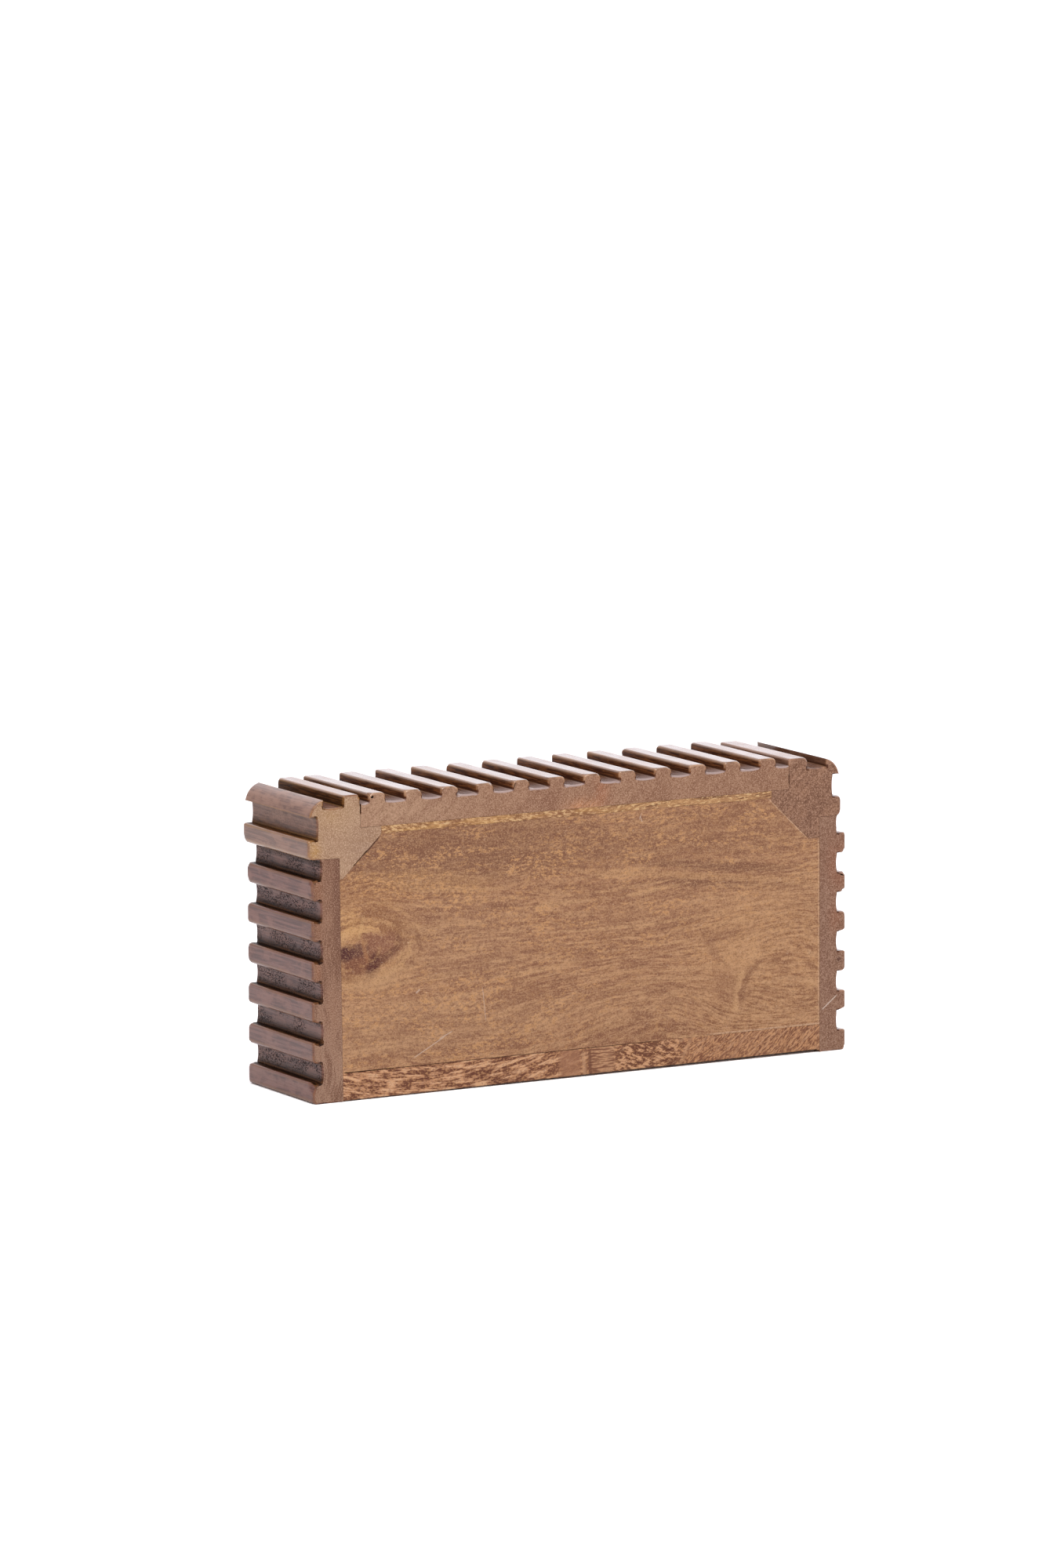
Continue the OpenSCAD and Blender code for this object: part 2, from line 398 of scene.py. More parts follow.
class Wood:
    """A material under construction. Sockets and plain numbers can be mixed in every call."""

    def __init__(self, name):
        self.material = bpy.data.materials.new(name)
        self.material.use_nodes = True
        self.tree = self.material.node_tree
        self.shader = self.tree.nodes["Principled BSDF"]
        place = self.tree.nodes.new("ShaderNodeTexCoord").outputs["Object"]
        self.place = self.vector("MULTIPLY", place, (1000.0, 1000.0, 1000.0))
        split = self.tree.nodes.new("ShaderNodeSeparateXYZ")
        self.feed(split.inputs[0], self.place)
        self.x, self.y, self.z = split.outputs

    def feed(self, socket, value):
        if isinstance(value, bpy.types.NodeSocket):
            self.tree.links.new(value, socket)
        else:
            socket.default_value = value

    def vector(self, kind, a, b):
        node = self.tree.nodes.new("ShaderNodeVectorMath")
        node.operation = kind
        self.feed(node.inputs[0], a)
        self.feed(node.inputs[1], b)
        return node.outputs[0]

    def math(self, kind, a, b=0.0):
        node = self.tree.nodes.new("ShaderNodeMath")
        node.operation = kind
        self.feed(node.inputs[0], a)
        self.feed(node.inputs[1], b)
        return node.outputs[0]

    def add(self, a, b):
        return self.math("ADD", a, b)

    def sub(self, a, b):
        return self.math("SUBTRACT", a, b)

    def mul(self, a, b):
        return self.math("MULTIPLY", a, b)

    def join(self, x, y, z):
        node = self.tree.nodes.new("ShaderNodeCombineXYZ")
        for socket, value in zip(node.inputs, (x, y, z)):
            self.feed(socket, value)
        return node.outputs[0]

    def scaled(self, x, y, z):
        return self.vector("MULTIPLY", self.place, (x, y, z))

    def grade(self, value, low, high, to_low=0.0, to_high=1.0):
        """value from low to high, mapped smoothly and clamped."""
        node = self.tree.nodes.new("ShaderNodeMapRange")
        node.interpolation_type = "SMOOTHSTEP"
        for socket, v in zip(node.inputs, (value, low, high, to_low, to_high)):
            self.feed(socket, v)
        return node.outputs[0]

    def noise(self, place, detail=2.0, rough=0.5, seed=0.0):
        node = self.tree.nodes.new("ShaderNodeTexNoise")
        self.feed(node.inputs["Vector"], self.vector("ADD", place, (seed, seed * 1.7, seed * 0.6)))
        node.inputs["Scale"].default_value = 1.0
        node.inputs["Detail"].default_value = detail
        node.inputs["Roughness"].default_value = rough
        return node.outputs[0]

    def mix(self, share, a, b):
        node = self.tree.nodes.new("ShaderNodeMix")
        node.data_type = "RGBA"
        self.feed(node.inputs[0], share)
        self.feed(node.inputs[6], colour(a))
        self.feed(node.inputs[7], colour(b))
        return node.outputs[2]

    def attribute(self, name):
        node = self.tree.nodes.new("ShaderNodeAttribute")
        node.attribute_name = name
        return node.outputs["Fac"]

    def far(self, cx, cz, rx, rz, lean=0.0):
        """Squared distance from a spot of the face (mm), 1 at its radii. lean tilts the spot, in degrees."""
        dx = self.sub(self.x, cx)
        dz = self.sub(self.z, cz)
        c, s = math.cos(math.radians(lean)), math.sin(math.radians(lean))
        u = self.add(self.mul(dx, c / rx), self.mul(dz, s / rx))
        v = self.sub(self.mul(dz, c / rz), self.mul(dx, s / rz))
        return self.add(self.mul(u, u), self.mul(v, v))

    def patch(self, cx, cz, rx, rz, lean=0.0):
        """1 at a spot of the face, fading to 0 past its radii."""
        return self.math("EXPONENT", self.mul(self.far(cx, cz, rx, rz, lean), -1.0))

    def blot(self, cx, cz, rx, rz, lean=0.0, soft=0.5, ragged=0.5, torn=2.6):
        """A spot with a clearer outline, torn by the ragged noise."""
        far = self.far(cx, cz, rx, rz, lean)
        far = self.add(far, self.mul(self.sub(ragged, 0.5), torn))
        return self.grade(far, 1.0 - soft, 1.0 + soft, 1.0, 0.0)

    def stroke(self, ax, az, bx, bz, width):
        """A thin straight mark from a to b (mm)."""
        length = math.hypot(bx - ax, bz - az)
        lean = math.degrees(math.atan2(bz - az, bx - ax))
        c, s = math.cos(math.radians(lean)), math.sin(math.radians(lean))
        dx = self.sub(self.x, (ax + bx) / 2)
        dz = self.sub(self.z, (az + bz) / 2)
        along = self.math("ABSOLUTE", self.add(self.mul(dx, c), self.mul(dz, s)))
        across = self.math("ABSOLUTE", self.sub(self.mul(dz, c), self.mul(dx, s)))
        ends = self.grade(along, length * 0.35, length * 0.5, 1.0, 0.0)
        return self.mul(ends, self.grade(across, width * 0.3, width, 1.0, 0.0))

    def bump(self, height, strength, distance):
        node = self.tree.nodes.new("ShaderNodeBump")
        node.inputs["Strength"].default_value = strength
        node.inputs["Distance"].default_value = distance
        self.feed(node.inputs["Height"], height)
        self.tree.links.new(node.outputs[0], self.shader.inputs["Normal"])

    def finish(self, base, rough, specular=0.15, coat=0.0, coat_rough=0.1):
        self.feed(self.shader.inputs["Base Color"], base)
        self.feed(self.shader.inputs["Roughness"], rough)
        self.shader.inputs["Specular IOR Level"].default_value = specular
        self.feed(self.shader.inputs["Coat Weight"], coat)
        self.shader.inputs["Coat Roughness"].default_value = coat_rough
        return self.material


# ---------------------------------------------------------------- wood materials


def end_grain(name, seed, base, dark, light, ring_lean, ring_step, ring_share,
              spots=(), scratch=None, wave=12.0):
    """Sawn and sealed end grain: fine pale and dark specks over soft growth rings.

    The rings are ring_step mm apart, lean by ring_lean degrees and wander by up to wave mm.
    """
    w = Wood(name)
    c, s = math.cos(math.radians(ring_lean)), math.sin(math.radians(ring_lean))
    wander = w.noise(w.scaled(0.05, 0.05, 0.05), 2.0, 0.5, seed)
    across = w.add(w.add(w.mul(w.x, c), w.mul(w.z, s)), w.mul(wander, wave))
    along = w.sub(w.mul(w.z, c), w.mul(w.x, s))
    ring_place = w.join(w.mul(across, 1.0 / ring_step), w.mul(w.y, 0.02), w.mul(along, 0.05))
    rings = w.noise(ring_place, 4.0, 0.65, seed + 3)
    blotch = w.noise(w.scaled(0.13, 0.05, 0.13), 3.0, 0.6, seed + 5)
    specks = w.noise(w.scaled(2.1, 0.3, 2.1), 3.0, 0.75, seed + 7)
    tone = w.mix(w.grade(blotch, 0.38, 0.62), base, light)
    for spot, tint, share in spots:
        tone = w.mix(w.mul(w.patch(*spot), share), tone, tint)
    tone = w.mix(w.grade(rings, 0.46, 0.62, 0.0, ring_share), tone, dark)
    tone = w.mix(w.grade(rings, 0.48, 0.36, 0.0, ring_share * 0.6), tone, light)
    tone = w.mix(w.grade(specks, 0.51, 0.62, 0.0, 0.65), tone, tuple(v + 38 for v in light))
    tone = w.mix(w.grade(specks, 0.48, 0.38, 0.0, 0.6), tone, tuple(v - 28 for v in dark))
    if scratch:
        tone = w.mix(w.mul(w.stroke(*scratch), 0.75), tone, (226, 206, 190))
    w.bump(specks, 0.15, 0.00015)
    return w.finish(tone, w.grade(blotch, 0.4, 0.6, 0.5, 0.62))


def lacquered(name, seed, base, dark, light, amber, crease_shade_tint=(34, 15, 6), glow_tint=(150, 96, 52),
              coat=0.5, bump=0.3, pits=0.9, mouth_sheen_share=0.0, rim_share=0.7, wall_glow=0.2, floor_dull=0.5):
    """Brushed lacquer over long grain that runs along Y, with painted shade in the creases, pitted in the
    groove floors.

    amber is the worn tone of the corners and rims, crease_shade_tint the painted shade of the creases and of
    the ledges and walls that the shade attribute marks, and glow_tint the lighter streaks along the fibre in
    that painted shade.
    """
    w = Wood(name)
    streak = w.noise(w.scaled(1.1, 0.03, 1.1), 3.0, 0.6, seed)
    fibre = w.noise(w.scaled(1.9, 0.12, 1.9), 3.0, 0.6, seed + 2)
    blotch = w.noise(w.scaled(0.16, 0.10, 0.16), 3.0, 0.6, seed + 4)
    tone = w.mix(w.grade(streak, 0.42, 0.58), base, dark)
    tone = w.mix(w.grade(blotch, 0.46, 0.60, 0.0, 0.8), tone, light)
    tone = w.mix(w.grade(fibre, 0.52, 0.64, 0.0, 0.4), tone, light)
    tone = w.mix(w.grade(fibre, 0.47, 0.36, 0.0, 0.5), tone, dark)
    floor = w.attribute("floor")
    grains = w.noise(w.scaled(2.0, 1.3, 2.0), 1.0, 0.6, seed + 6)
    clusters = w.grade(w.noise(w.scaled(0.12, 0.07, 0.12), 2.0, 0.5, seed + 8), 0.38, 0.5)
    pit = w.mul(w.mul(w.grade(grains, 0.51, 0.57), floor), w.mul(clusters, pits))
    tone = w.mix(w.mul(pit, 0.95), tone, (30, 12, 10))
    # Painted shade: where the shade attribute marks ledges and walls, the tone turns to crease_shade_tint,
    # streaked lighter along the fibre
    shade = w.attribute("shade")
    # Painted shade in the inner corners: they darken towards crease_shade_tint
    crease = w.grade(w.attribute("crease"), 0.05, 0.75, 0.0, 0.85)
    deep = w.mix(w.grade(fibre, 0.44, 0.58, 0.0, wall_glow), crease_shade_tint, glow_tint)
    tone = w.mix(shade, tone, deep)
    tone = w.mix(crease, tone, crease_shade_tint)
    worn = w.mul(w.grade(w.attribute("corner"), 0.3, 1.0), w.grade(streak, 0.42, 0.56, 0.15, 0.6))
    tone = w.mix(worn, tone, amber)
    rim = w.mul(w.grade(w.attribute("rim"), 0.15, 0.6), w.grade(w.attribute("crease"), 0.1, 0.6, 1.0, 0.0))
    rim = w.mul(rim, w.sub(1.0, w.mul(floor, 0.75)))
    tone = w.mix(w.mul(rim, w.grade(blotch, 0.4, 0.58, rim_share * 0.4, rim_share)), tone, amber)
    # Painted reflection: the floors near a groove's mouth are painted pale lavender, as if they caught the
    # white tent
    if mouth_sheen_share:
        tone = w.mix(w.mul(w.grade(w.attribute("lip"), 0.0, 1.0), mouth_sheen_share), tone, (196, 172, 166))
    height = w.add(w.mul(fibre, 0.4), w.mul(blotch, 1.2))
    height = w.sub(height, w.mul(pit, 1.6))
    w.bump(height, bump, 0.0003)
    rough = w.add(w.grade(streak, 0.4, 0.6, 0.4, 0.52), w.mul(pit, 0.2))
    dull = w.math("MAXIMUM", pit, w.mul(floor, floor_dull))
    dull = w.math("MAXIMUM", shade, w.math("MAXIMUM", crease, dull))
    cover = w.mul(w.sub(1.0, dull), w.grade(blotch, 0.4, 0.6, coat, coat * 0.85))
    return w.finish(tone, rough, 0.05, cover, 0.12)


# Where the panel's knot and swirl lie: middle and radii of their rings, in mm
KNOT = (-93.0, 56.0, 24.0, 15.0)
KNOT_FLOW = (-91.0, 55.5, 24.0, 15.0)
SWIRL = (87.0, 22.0, 19.5, 19.0)


def flowing_z(w):
    """The height that a grain line keeps, once it has run round the knot and fanned past the swirl."""
    knot = w.patch(*KNOT_FLOW)
    z = w.sub(w.z, w.mul(w.mul(w.sub(w.z, KNOT_FLOW[1]), 0.78), knot))
    past = w.grade(w.x, 30.0, 95.0)
    above = w.patch(82.0, 47.0, 45.0, 11.0)
    over = w.patch(85.0, 72.0, 60.0, 9.0)
    below = w.patch(62.0, 17.0, 45.0, 8.0)
    z = w.sub(z, w.mul(w.mul(past, above), 9.0))
    z = w.add(z, w.mul(w.mul(past, over), 1.0))
    z = w.add(z, w.mul(w.mul(past, below), 4.0))
    rise = w.mul(w.grade(w.x, -50.0, 40.0), w.patch(10.0, 26.0, 70.0, 15.0))
    z = w.sub(z, w.mul(rise, 9.0))
    lift = w.noise(w.scaled(0.016, 0.02, 0.035), 3.0, 0.5, 2.0)
    return w.add(z, w.mul(lift, 11.0))


# Spots of the panel with golden flecks: middle, radii and lean of each (mm and degrees), and its share
GOLDEN_SPOTS = (
    ((-84.0, 78.0, 16.0, 5.0, -4.0), 0.9),
    ((-60.0, 74.0, 22.0, 4.5, -12.0), 0.85),
    ((-92.0, 66.0, 10.0, 7.0, 0.0), 0.8),
    ((-30.0, 62.0, 14.0, 4.0, -10.0), 0.6),
    ((-82.0, 44.0, 22.0, 6.0, 0.0), 0.6),
    ((10.0, 89.0, 40.0, 4.0, 0.0), 0.5),
    ((-6.0, 50.0, 20.0, 4.0, 4.0), 0.5),
    ((-84.0, 30.0, 18.0, 5.0, 0.0), 0.6),
)
# Marks on the panel from one point to another (x, z, x, z), each with its width, in mm
PALE_JOINTS = (
    (50.0, 11.0, 112.0, 10.9, 0.55),
    (75.0, 102.2, 97.4, 80.6, 0.4),
    (101.5, 0.0, 101.5, 92.0, 0.3),
)
OPEN_CHAMFER = (-83.6, 97.0, -91.0, 89.9, 0.75)
PANEL_SCRATCHES = (
    (-71.2, 13.2, -56.5, 20.9, 0.28),
    (-60.0, 19.6, -54.0, 22.2, 0.3),
    (-41.7, 38.0, -40.2, 24.0, 0.18),
    (-69.4, 37.4, -67.6, 38.8, 0.45),
    (24.9, 95.6, 25.9, 92.9, 0.25),
    (25.6, 96.5, 24.6, 94.0, 0.18),
)


def panel_wood(name):
    """The broad panel: wavy grain along X, a knot near the left end and a swirl near the right."""
    w = Wood(name)
    z = flowing_z(w)
    broad = w.noise(w.join(w.mul(w.x, 0.012), w.mul(w.y, 0.1), w.mul(z, 0.10)), 3.0, 0.55, 11.0)
    bands = w.noise(w.join(w.mul(w.x, 0.022), w.mul(w.y, 0.1), w.mul(z, 0.42)), 4.0, 0.62, 5.0)
    mottle = w.noise(w.join(w.mul(w.x, 0.24), w.mul(w.y, 0.2), w.mul(z, 0.62)), 3.0, 0.62, 7.0)
    dash = w.noise(w.join(w.mul(w.x, 0.24), w.mul(w.y, 0.3), w.mul(z, 1.9)), 3.0, 0.62, 9.0)
    waves = w.noise(w.join(w.mul(w.x, 0.09), w.mul(w.y, 0.3), w.mul(z, 0.85)), 4.0, 0.68, 59.0)
    speck = w.noise(w.scaled(1.7, 0.5, 2.1), 3.0, 0.75, 13.0)
    ragged = w.noise(w.scaled(0.35, 0.1, 0.35), 3.0, 0.6, 15.0)
    streaky = w.grade(w.add(w.mul(w.sub(w.x, 10.0), 0.012), w.mul(w.sub(40.0, w.z), 0.018)), -0.5, 1.3)
    tone = w.mix(w.grade(broad, 0.42, 0.58), (180, 131, 97), (163, 116, 86))
    tone = w.mix(w.mul(w.grade(bands, 0.5, 0.60), w.grade(streaky, 0.0, 1.0, 0.6, 0.65)), tone, (138, 92, 66))
    tone = w.mix(w.grade(bands, 0.48, 0.40, 0.0, 0.8), tone, (212, 166, 120))
    blotches = w.mul(w.grade(mottle, 0.51, 0.6), w.grade(broad, 0.4, 0.6, 0.6, 0.35))
    tone = w.mix(blotches, tone, (204, 156, 112))
    tone = w.mix(w.grade(mottle, 0.47, 0.38, 0.0, 0.5), tone, (142, 96, 69))
    gold = w.noise(w.join(w.mul(w.x, 0.55), w.mul(w.y, 0.3), w.mul(z, 1.2)), 3.0, 0.68, 19.0)
    cluster = w.noise(w.join(w.mul(w.x, 0.05), w.mul(w.y, 0.1), w.mul(z, 0.17)), 3.0, 0.6, 23.0)
    tone = region_tones(w, tone, ragged)
    dark_dashes = w.mul(w.grade(dash, 0.51, 0.6), w.grade(streaky, 0.0, 1.0, 0.08, 0.62))
    tone = w.mix(dark_dashes, tone, (124, 76, 50))
    pale_dashes = w.mul(w.grade(dash, 0.48, 0.39), w.grade(streaky, 0.0, 1.0, 0.15, 0.7))
    tone = w.mix(pale_dashes, tone, (218, 172, 126))
    low_part = w.grade(w.z, 88.0, 50.0, 0.3, 1.0)
    tone = w.mix(w.mul(w.grade(waves, 0.51, 0.59, 0.0, 0.6), low_part), tone, (216, 170, 126))
    tone = w.mix(w.grade(waves, 0.48, 0.4, 0.0, 0.25), tone, (144, 98, 72))
    golden = w.grade(cluster, 0.47, 0.6, 0.12, 0.8)
    for spot, share in GOLDEN_SPOTS:
        golden = w.math("MAXIMUM", golden, w.mul(w.blot(*spot, 0.9, ragged), share))
    golden = w.mul(golden, w.grade(streaky, 0.0, 1.0, 1.0, 0.35))
    tone = w.mix(w.mul(w.grade(gold, 0.5, 0.6), golden), tone, (222, 168, 112))
    tone = w.mix(w.mul(w.grade(gold, 0.47, 0.39), w.grade(streaky, 0.0, 1.0, 0.45, 0.3)), tone, (134, 89, 65))
    tone = knot_tones(w, tone, ragged, mottle)
    tone = w.mix(w.grade(speck, 0.52, 0.62, 0.0, 0.5), tone, (214, 170, 130))
    tone = w.mix(w.grade(speck, 0.48, 0.38, 0.0, 0.5), tone, (112, 70, 50))
    ticks = w.grade(w.noise(w.scaled(0.7, 0.7, 4.0), 1.0, 0.5, 17.0), 0.7, 0.76)
    tone = w.mix(w.mul(w.mul(ticks, w.grade(ragged, 0.5, 0.6)), 0.8), tone, (236, 214, 190))
    for mark in PALE_JOINTS:
        tone = w.mix(w.mul(w.stroke(*mark), w.grade(speck, 0.42, 0.54, 0.2, 0.75)), tone, (222, 184, 150))
    tone = w.mix(0.12, tone, (150, 98, 68))
    tone = w.mix(w.mul(w.stroke(*OPEN_CHAMFER), 0.85), tone, (80, 46, 30))
    for mark in PANEL_SCRATCHES:
        tone = w.mix(w.mul(w.stroke(*mark), 0.55), tone, (224, 200, 180))
    w.bump(w.add(dash, mottle), 0.08, 0.0002)
    return w.finish(tone, w.grade(mottle, 0.4, 0.6, 0.5, 0.6))


def region_tones(w, tone, ragged):
    """Broad differences of tone over the panel: middle, radii and lean of each, its tint and its share."""
    regions = (
        ((-50.0, 88.0, 66.0, 12.0), (130, 89, 67), 0.88),
        ((-92.0, 76.0, 20.0, 7.0), (168, 116, 72), 0.5),
        ((-50.0, 55.0, 26.0, 16.0), (170, 128, 98), 0.5),
        ((56.0, 74.5, 34.0, 1.9, -7.0), (116, 75, 58), 0.8),
        ((66.0, 67.0, 32.0, 2.4, -7.0), (116, 75, 58), 0.7),
        ((50.0, 71.0, 60.0, 1.3, -7.0), (212, 164, 116), 0.6),
        ((-62.0, 78.0, 24.0, 4.0, -8.0), (214, 166, 112), 0.4),
        ((-88.0, 34.0, 14.0, 14.0), (204, 158, 116), 0.5),
        ((-70.0, 20.0, 30.0, 2.4, 5.0), (216, 170, 126), 0.6),
        ((-80.0, 27.0, 22.0, 1.6, 6.0), (144, 99, 73), 0.5),
        ((-84.0, 15.5, 18.0, 1.4, 0.0), (150, 106, 80), 0.5),
        ((-60.0, 33.0, 30.0, 2.0, 8.0), (202, 156, 116), 0.45),
        ((60.0, 60.5, 48.0, 3.6), (200, 152, 112), 0.6),
        ((66.0, 38.0, 10.0, 8.0), (206, 160, 118), 0.6),
        ((61.0, 26.0, 9.0, 7.0), (164, 117, 84), 0.6),
        ((82.0, 22.0, 8.0, 8.0), (164, 117, 84), 0.35),
        ((-60.0, 25.0, 45.0, 10.0), (192, 150, 114), 0.35),
        ((40.0, 86.0, 60.0, 9.0), (150, 106, 78), 0.5),
        ((-10.0, 22.0, 40.0, 12.0), (158, 113, 84), 0.4),
        ((78.0, 34.0, 30.0, 32.0), (208, 158, 110), 0.5),
        ((10.0, 24.0, 60.0, 5.0), (200, 154, 114), 0.4),
    )
    for spot, tint, share in regions:
        spot = spot if len(spot) == 5 else (*spot, 0.0)
        tone = w.mix(w.mul(w.blot(*spot, 0.9, ragged), share), tone, tint)
    return tone


def knot_tones(w, tone, ragged, mottle):
    """The knot at the left edge, ringed with pale and brown arcs, and the dark lines of the swirl."""
    wobble = w.mul(w.sub(ragged, 0.5), 0.9)
    ring = w.add(w.math("POWER", w.far(*KNOT), 0.5), w.mul(wobble, 0.35))
    arcs = w.noise(w.join(w.mul(ring, 6.0), w.mul(w.x, 0.05), w.mul(w.z, 0.08)), 4.0, 0.65, 21.0)
    near = w.grade(ring, 0.55, 1.35, 1.0, 0.0)
    tone = w.mix(w.mul(near, 0.35), tone, (186, 140, 98))
    tone = w.mix(w.mul(near, w.grade(arcs, 0.5, 0.6, 0.0, 0.75)), tone, (138, 92, 62))
    tone = w.mix(w.mul(near, w.grade(arcs, 0.47, 0.4, 0.0, 0.85)), tone, (222, 176, 124))
    # Middle, radii and lean; tint; share; how soft the outline is and how torn
    spots = (
        ((-84.0, 57.6, 7.6, 5.8, -14.0), (148, 98, 76), 0.85, 0.8, 1.0),
        ((-95.0, 64.0, 3.6, 5.0, 20.0), (206, 152, 92), 0.35, 0.95, 1.8),
        ((-88.0, 64.5, 9.0, 2.0, -14.0), (218, 168, 112), 0.35, 0.9, 1.5),
        ((-93.0, 51.0, 7.4, 4.4, -6.0), (124, 72, 52), 0.9, 0.9, 1.2),
        ((-93.8, 55.0, 5.0, 2.6, 4.0), (92, 56, 52), 0.85, 0.9, 1.4),
        ((-98.0, 54.6, 3.2, 3.0, 12.0), (62, 12, 30), 1.0, 0.8, 0.6),
        ((-86.6, 49.6, 2.6, 4.8, -24.0), (72, 18, 26), 1.0, 0.8, 0.7),
        ((-80.8, 52.6, 5.4, 1.5, 34.0), (104, 60, 46), 0.85, 0.9, 1.0),
        ((-76.6, 57.0, 1.2, 4.2, -8.0), (122, 78, 56), 0.7, 0.9, 1.0),
        ((-90.2, 54.6, 0.8, 4.6, 14.0), (190, 132, 86), 0.5, 0.95, 2.4),
        ((-91.8, 63.5, 0.7, 4.4, -15.0), (232, 188, 130), 0.6, 0.95, 1.2),
        ((-68.2, 57.4, 1.0, 4.6, 16.0), (138, 94, 68), 0.55, 0.9, 1.2),
        ((-84.0, 44.0, 13.0, 3.4, 8.0), (208, 164, 120), 0.55, 0.9, 1.5),
    )
    fray = w.noise(w.scaled(0.8, 0.2, 0.8), 3.0, 0.65, 25.0)
    for spot, tint, share, soft, torn in spots:
        tone = w.mix(w.mul(w.blot(*spot, soft, fray, torn), share), tone, tint)
    tone = w.mix(w.mul(w.grade(mottle, 0.5, 0.6, 0.0, 0.35), near), tone, (198, 150, 102))
    streams = w.mul(near, w.grade(w.z, 59.0, 63.0))
    tone = w.mix(w.mul(streams, w.grade(arcs, 0.5, 0.56, 0.0, 0.7)), tone, (146, 96, 62))
    tone = w.mix(w.mul(streams, w.grade(arcs, 0.48, 0.43, 0.0, 0.7)), tone, (228, 178, 120))
    swirl = w.add(w.math("POWER", w.far(*SWIRL), 0.5), w.mul(wobble, 0.25))
    rim = w.mul(w.grade(swirl, 0.84, 0.97), w.grade(swirl, 1.08, 0.99))
    rim = w.mul(rim, w.blot(71.5, 29.0, 7.0, 9.5, -35.0, 0.6))
    tone = w.mix(w.mul(rim, 0.65), tone, (140, 94, 66))
    outer = w.mul(w.grade(swirl, 1.02, 1.09), w.grade(swirl, 1.2, 1.1))
    outer = w.mul(outer, w.blot(68.0, 26.0, 7.0, 9.0, -35.0, 0.6))
    tone = w.mix(w.mul(outer, 0.75), tone, (218, 172, 124))
    marks = (
        ((56.0, 42.5, 1.6, 5.4, 24.0), (142, 96, 70), 0.45),
        ((61.0, 29.0, 5.5, 7.5, 18.0), (158, 111, 80), 0.5),
        ((59.0, 47.5, 9.0, 1.8, 6.0), (142, 96, 72), 0.45),
        ((66.5, 39.5, 6.5, 6.5, 0.0), (212, 164, 118), 0.4),
    )
    for spot, tint, share in marks:
        tone = w.mix(w.mul(w.blot(*spot, 0.9, fray, 1.8), share), tone, tint)
    return tone


def strip_wood():
    """The thin edge strip: yellowish tan, flecked at the left and lined with leaning grain at the right."""
    w = Wood("strip_wood")
    right = w.grade(w.x, -20.0, 45.0)
    z = w.add(w.z, w.mul(w.x, w.grade(right, 0.0, 1.0, 0.10, -0.09)))
    fleck = w.noise(w.join(w.mul(w.x, 0.75), w.mul(w.y, 0.4), w.mul(z, 1.9)), 3.0, 0.65, 31.0)
    line = w.noise(w.join(w.mul(w.x, 0.12), w.mul(w.y, 0.4), w.mul(z, 1.7)), 3.0, 0.6, 35.0)
    broad = w.noise(w.scaled(0.06, 0.1, 0.3), 2.0, 0.5, 33.0)
    tone = w.mix(w.grade(broad, 0.42, 0.58), (200, 152, 104), (186, 138, 98))
    tone = w.mix(w.mul(w.grade(fleck, 0.48, 0.55), w.grade(right, 0.0, 1.0, 0.7, 0.3)), tone, (122, 74, 42))
    tone = w.mix(w.mul(w.grade(line, 0.52, 0.6), w.grade(right, 0.0, 1.0, 0.1, 0.85)), tone, (118, 74, 48))
    tone = w.mix(w.grade(fleck, 0.47, 0.38, 0.0, 0.8), tone, (232, 194, 142))
    gold = w.noise(w.scaled(0.07, 0.1, 0.5), 2.0, 0.5, 37.0)
    tone = w.mix(w.mul(w.grade(gold, 0.5, 0.6), w.grade(w.x, 30.0, -5.0, 0.0, 0.3)), tone, (224, 172, 104))
    w.bump(fleck, 0.1, 0.0002)
    return w.finish(tone, 0.55)


